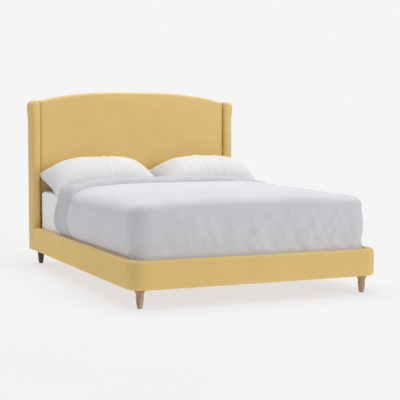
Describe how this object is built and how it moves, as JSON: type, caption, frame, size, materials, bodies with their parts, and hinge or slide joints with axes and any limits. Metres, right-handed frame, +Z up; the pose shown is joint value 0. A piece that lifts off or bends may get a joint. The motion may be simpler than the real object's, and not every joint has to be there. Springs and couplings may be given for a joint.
{
  "type": "upholstered headboard bed",
  "caption": "Queen bed with an arched, winged and fully upholstered headboard, padded rails, turned wooden feet, slatted base, mattress, pillows, blanket and duvet.",
  "frame": {"origin": "on the floor, midway between the two sides and midway between the outer foot face and the back of the headboard", "axes": "+Z up; +Y from the foot towards the headboard; +X to the right side of the bed seen from its foot"},
  "size_m": [1.65, 2.275, 1.302],
  "materials": {
    "mustard_cloth": "matte",
    "frame_timber": "matte",
    "slat_timber": "matte",
    "plywood": "matte",
    "turned_wood": "satin",
    "dark_turned_wood": "satin",
    "plated_steel": "satin",
    "bolt_steel": "satin",
    "black_plastic": "matte",
    "pad_rubber": "matte",
    "webbing": "matte",
    "mattress_ticking": "matte",
    "white_cotton": "matte",
    "pillow_ticking": "matte",
    "blanket_cotton": "matte",
    "duvet_cotton": "matte"
  },
  "bodies": {
    "bed_frame": {"beam_hangers": "plated_steel", "centre_beam": "frame_timber", "centre_leg_1": "frame_timber", "centre_leg_2": "frame_timber", "corner_block_left": "frame_timber", "corner_block_right": "frame_timber", "foot_bolts": "bolt_steel", "foot_front_left": "turned_wood", "foot_front_right": "turned_wood", "foot_pads": "pad_rubber", "foot_plates": "plated_steel", "foot_rail_board": "frame_timber", "foot_rail_cover": "mustard_cloth", "foot_rear_left": "dark_turned_wood", "foot_rear_right": "dark_turned_wood", "headboard_back_panel": "mustard_cloth", "headboard_bottom_rail": "frame_timber", "headboard_face_board": "plywood", "headboard_front_pad": "mustard_cloth", "headboard_middle_rail": "frame_timber", "headboard_post_left": "frame_timber", "headboard_post_right": "frame_timber", "headboard_top_rail": "frame_timber", "rail_bolts": "bolt_steel", "rail_brackets": "plated_steel", "side_rail_board_left": "frame_timber", "side_rail_board_right": "frame_timber", "side_rail_cover_left": "mustard_cloth", "side_rail_cover_right": "mustard_cloth", "slat_01": "slat_timber", "slat_02": "slat_timber", "slat_03": "slat_timber", "slat_04": "slat_timber", "slat_05": "slat_timber", "slat_06": "slat_timber", "slat_07": "slat_timber", "slat_08": "slat_timber", "slat_09": "slat_timber", "slat_10": "slat_timber", "slat_11": "slat_timber", "slat_12": "slat_timber", "slat_13": "slat_timber", "slat_ledge_left": "frame_timber", "slat_ledge_right": "frame_timber", "slat_straps": "webbing", "wing_board_left": "plywood", "wing_board_right": "plywood", "wing_roll_left": "mustard_cloth", "wing_roll_right": "mustard_cloth"},
    "mattress_body": {"mattress": "mattress_ticking", "fitted_sheet": "white_cotton"},
    "blanket_body": {"blanket": "blanket_cotton"},
    "duvet_body": {"duvet": "duvet_cotton"},
    "pillow_left_body": {"pillow_left": "pillow_ticking", "pillowcase_left": "white_cotton"},
    "pillow_right_body": {"pillow_right": "pillow_ticking", "pillowcase_right": "white_cotton"},
    "glide_1_body": {"levelling_glide_1": "black_plastic"},
    "glide_2_body": {"levelling_glide_2": "black_plastic"}
  },
  "joints": [
    {"name": "mattress_lift", "type": "slide", "parent": "bed_frame", "child": "mattress_body", "axis": [0, 0, 1], "range_m": [0, 0.4]},
    {"name": "blanket_lift", "type": "slide", "parent": "mattress_body", "child": "blanket_body", "axis": [0, 0, 1], "range_m": [0, 0.4]},
    {"name": "duvet_lift", "type": "slide", "parent": "blanket_body", "child": "duvet_body", "axis": [0, 0, 1], "range_m": [0, 0.4]},
    {"name": "pillow_left_lift", "type": "slide", "parent": "mattress_body", "child": "pillow_left_body", "axis": [0, 0, 1], "range_m": [0, 0.4]},
    {"name": "pillow_right_lift", "type": "slide", "parent": "mattress_body", "child": "pillow_right_body", "axis": [0, 0, 1], "range_m": [0, 0.4]},
    {"name": "levelling_glide_1_travel", "type": "slide", "parent": "bed_frame", "child": "glide_1_body", "axis": [0, 0, 1], "range_m": [-0.01, 0.012]},
    {"name": "levelling_glide_2_travel", "type": "slide", "parent": "bed_frame", "child": "glide_2_body", "axis": [0, 0, 1], "range_m": [-0.01, 0.012]}
  ]
}
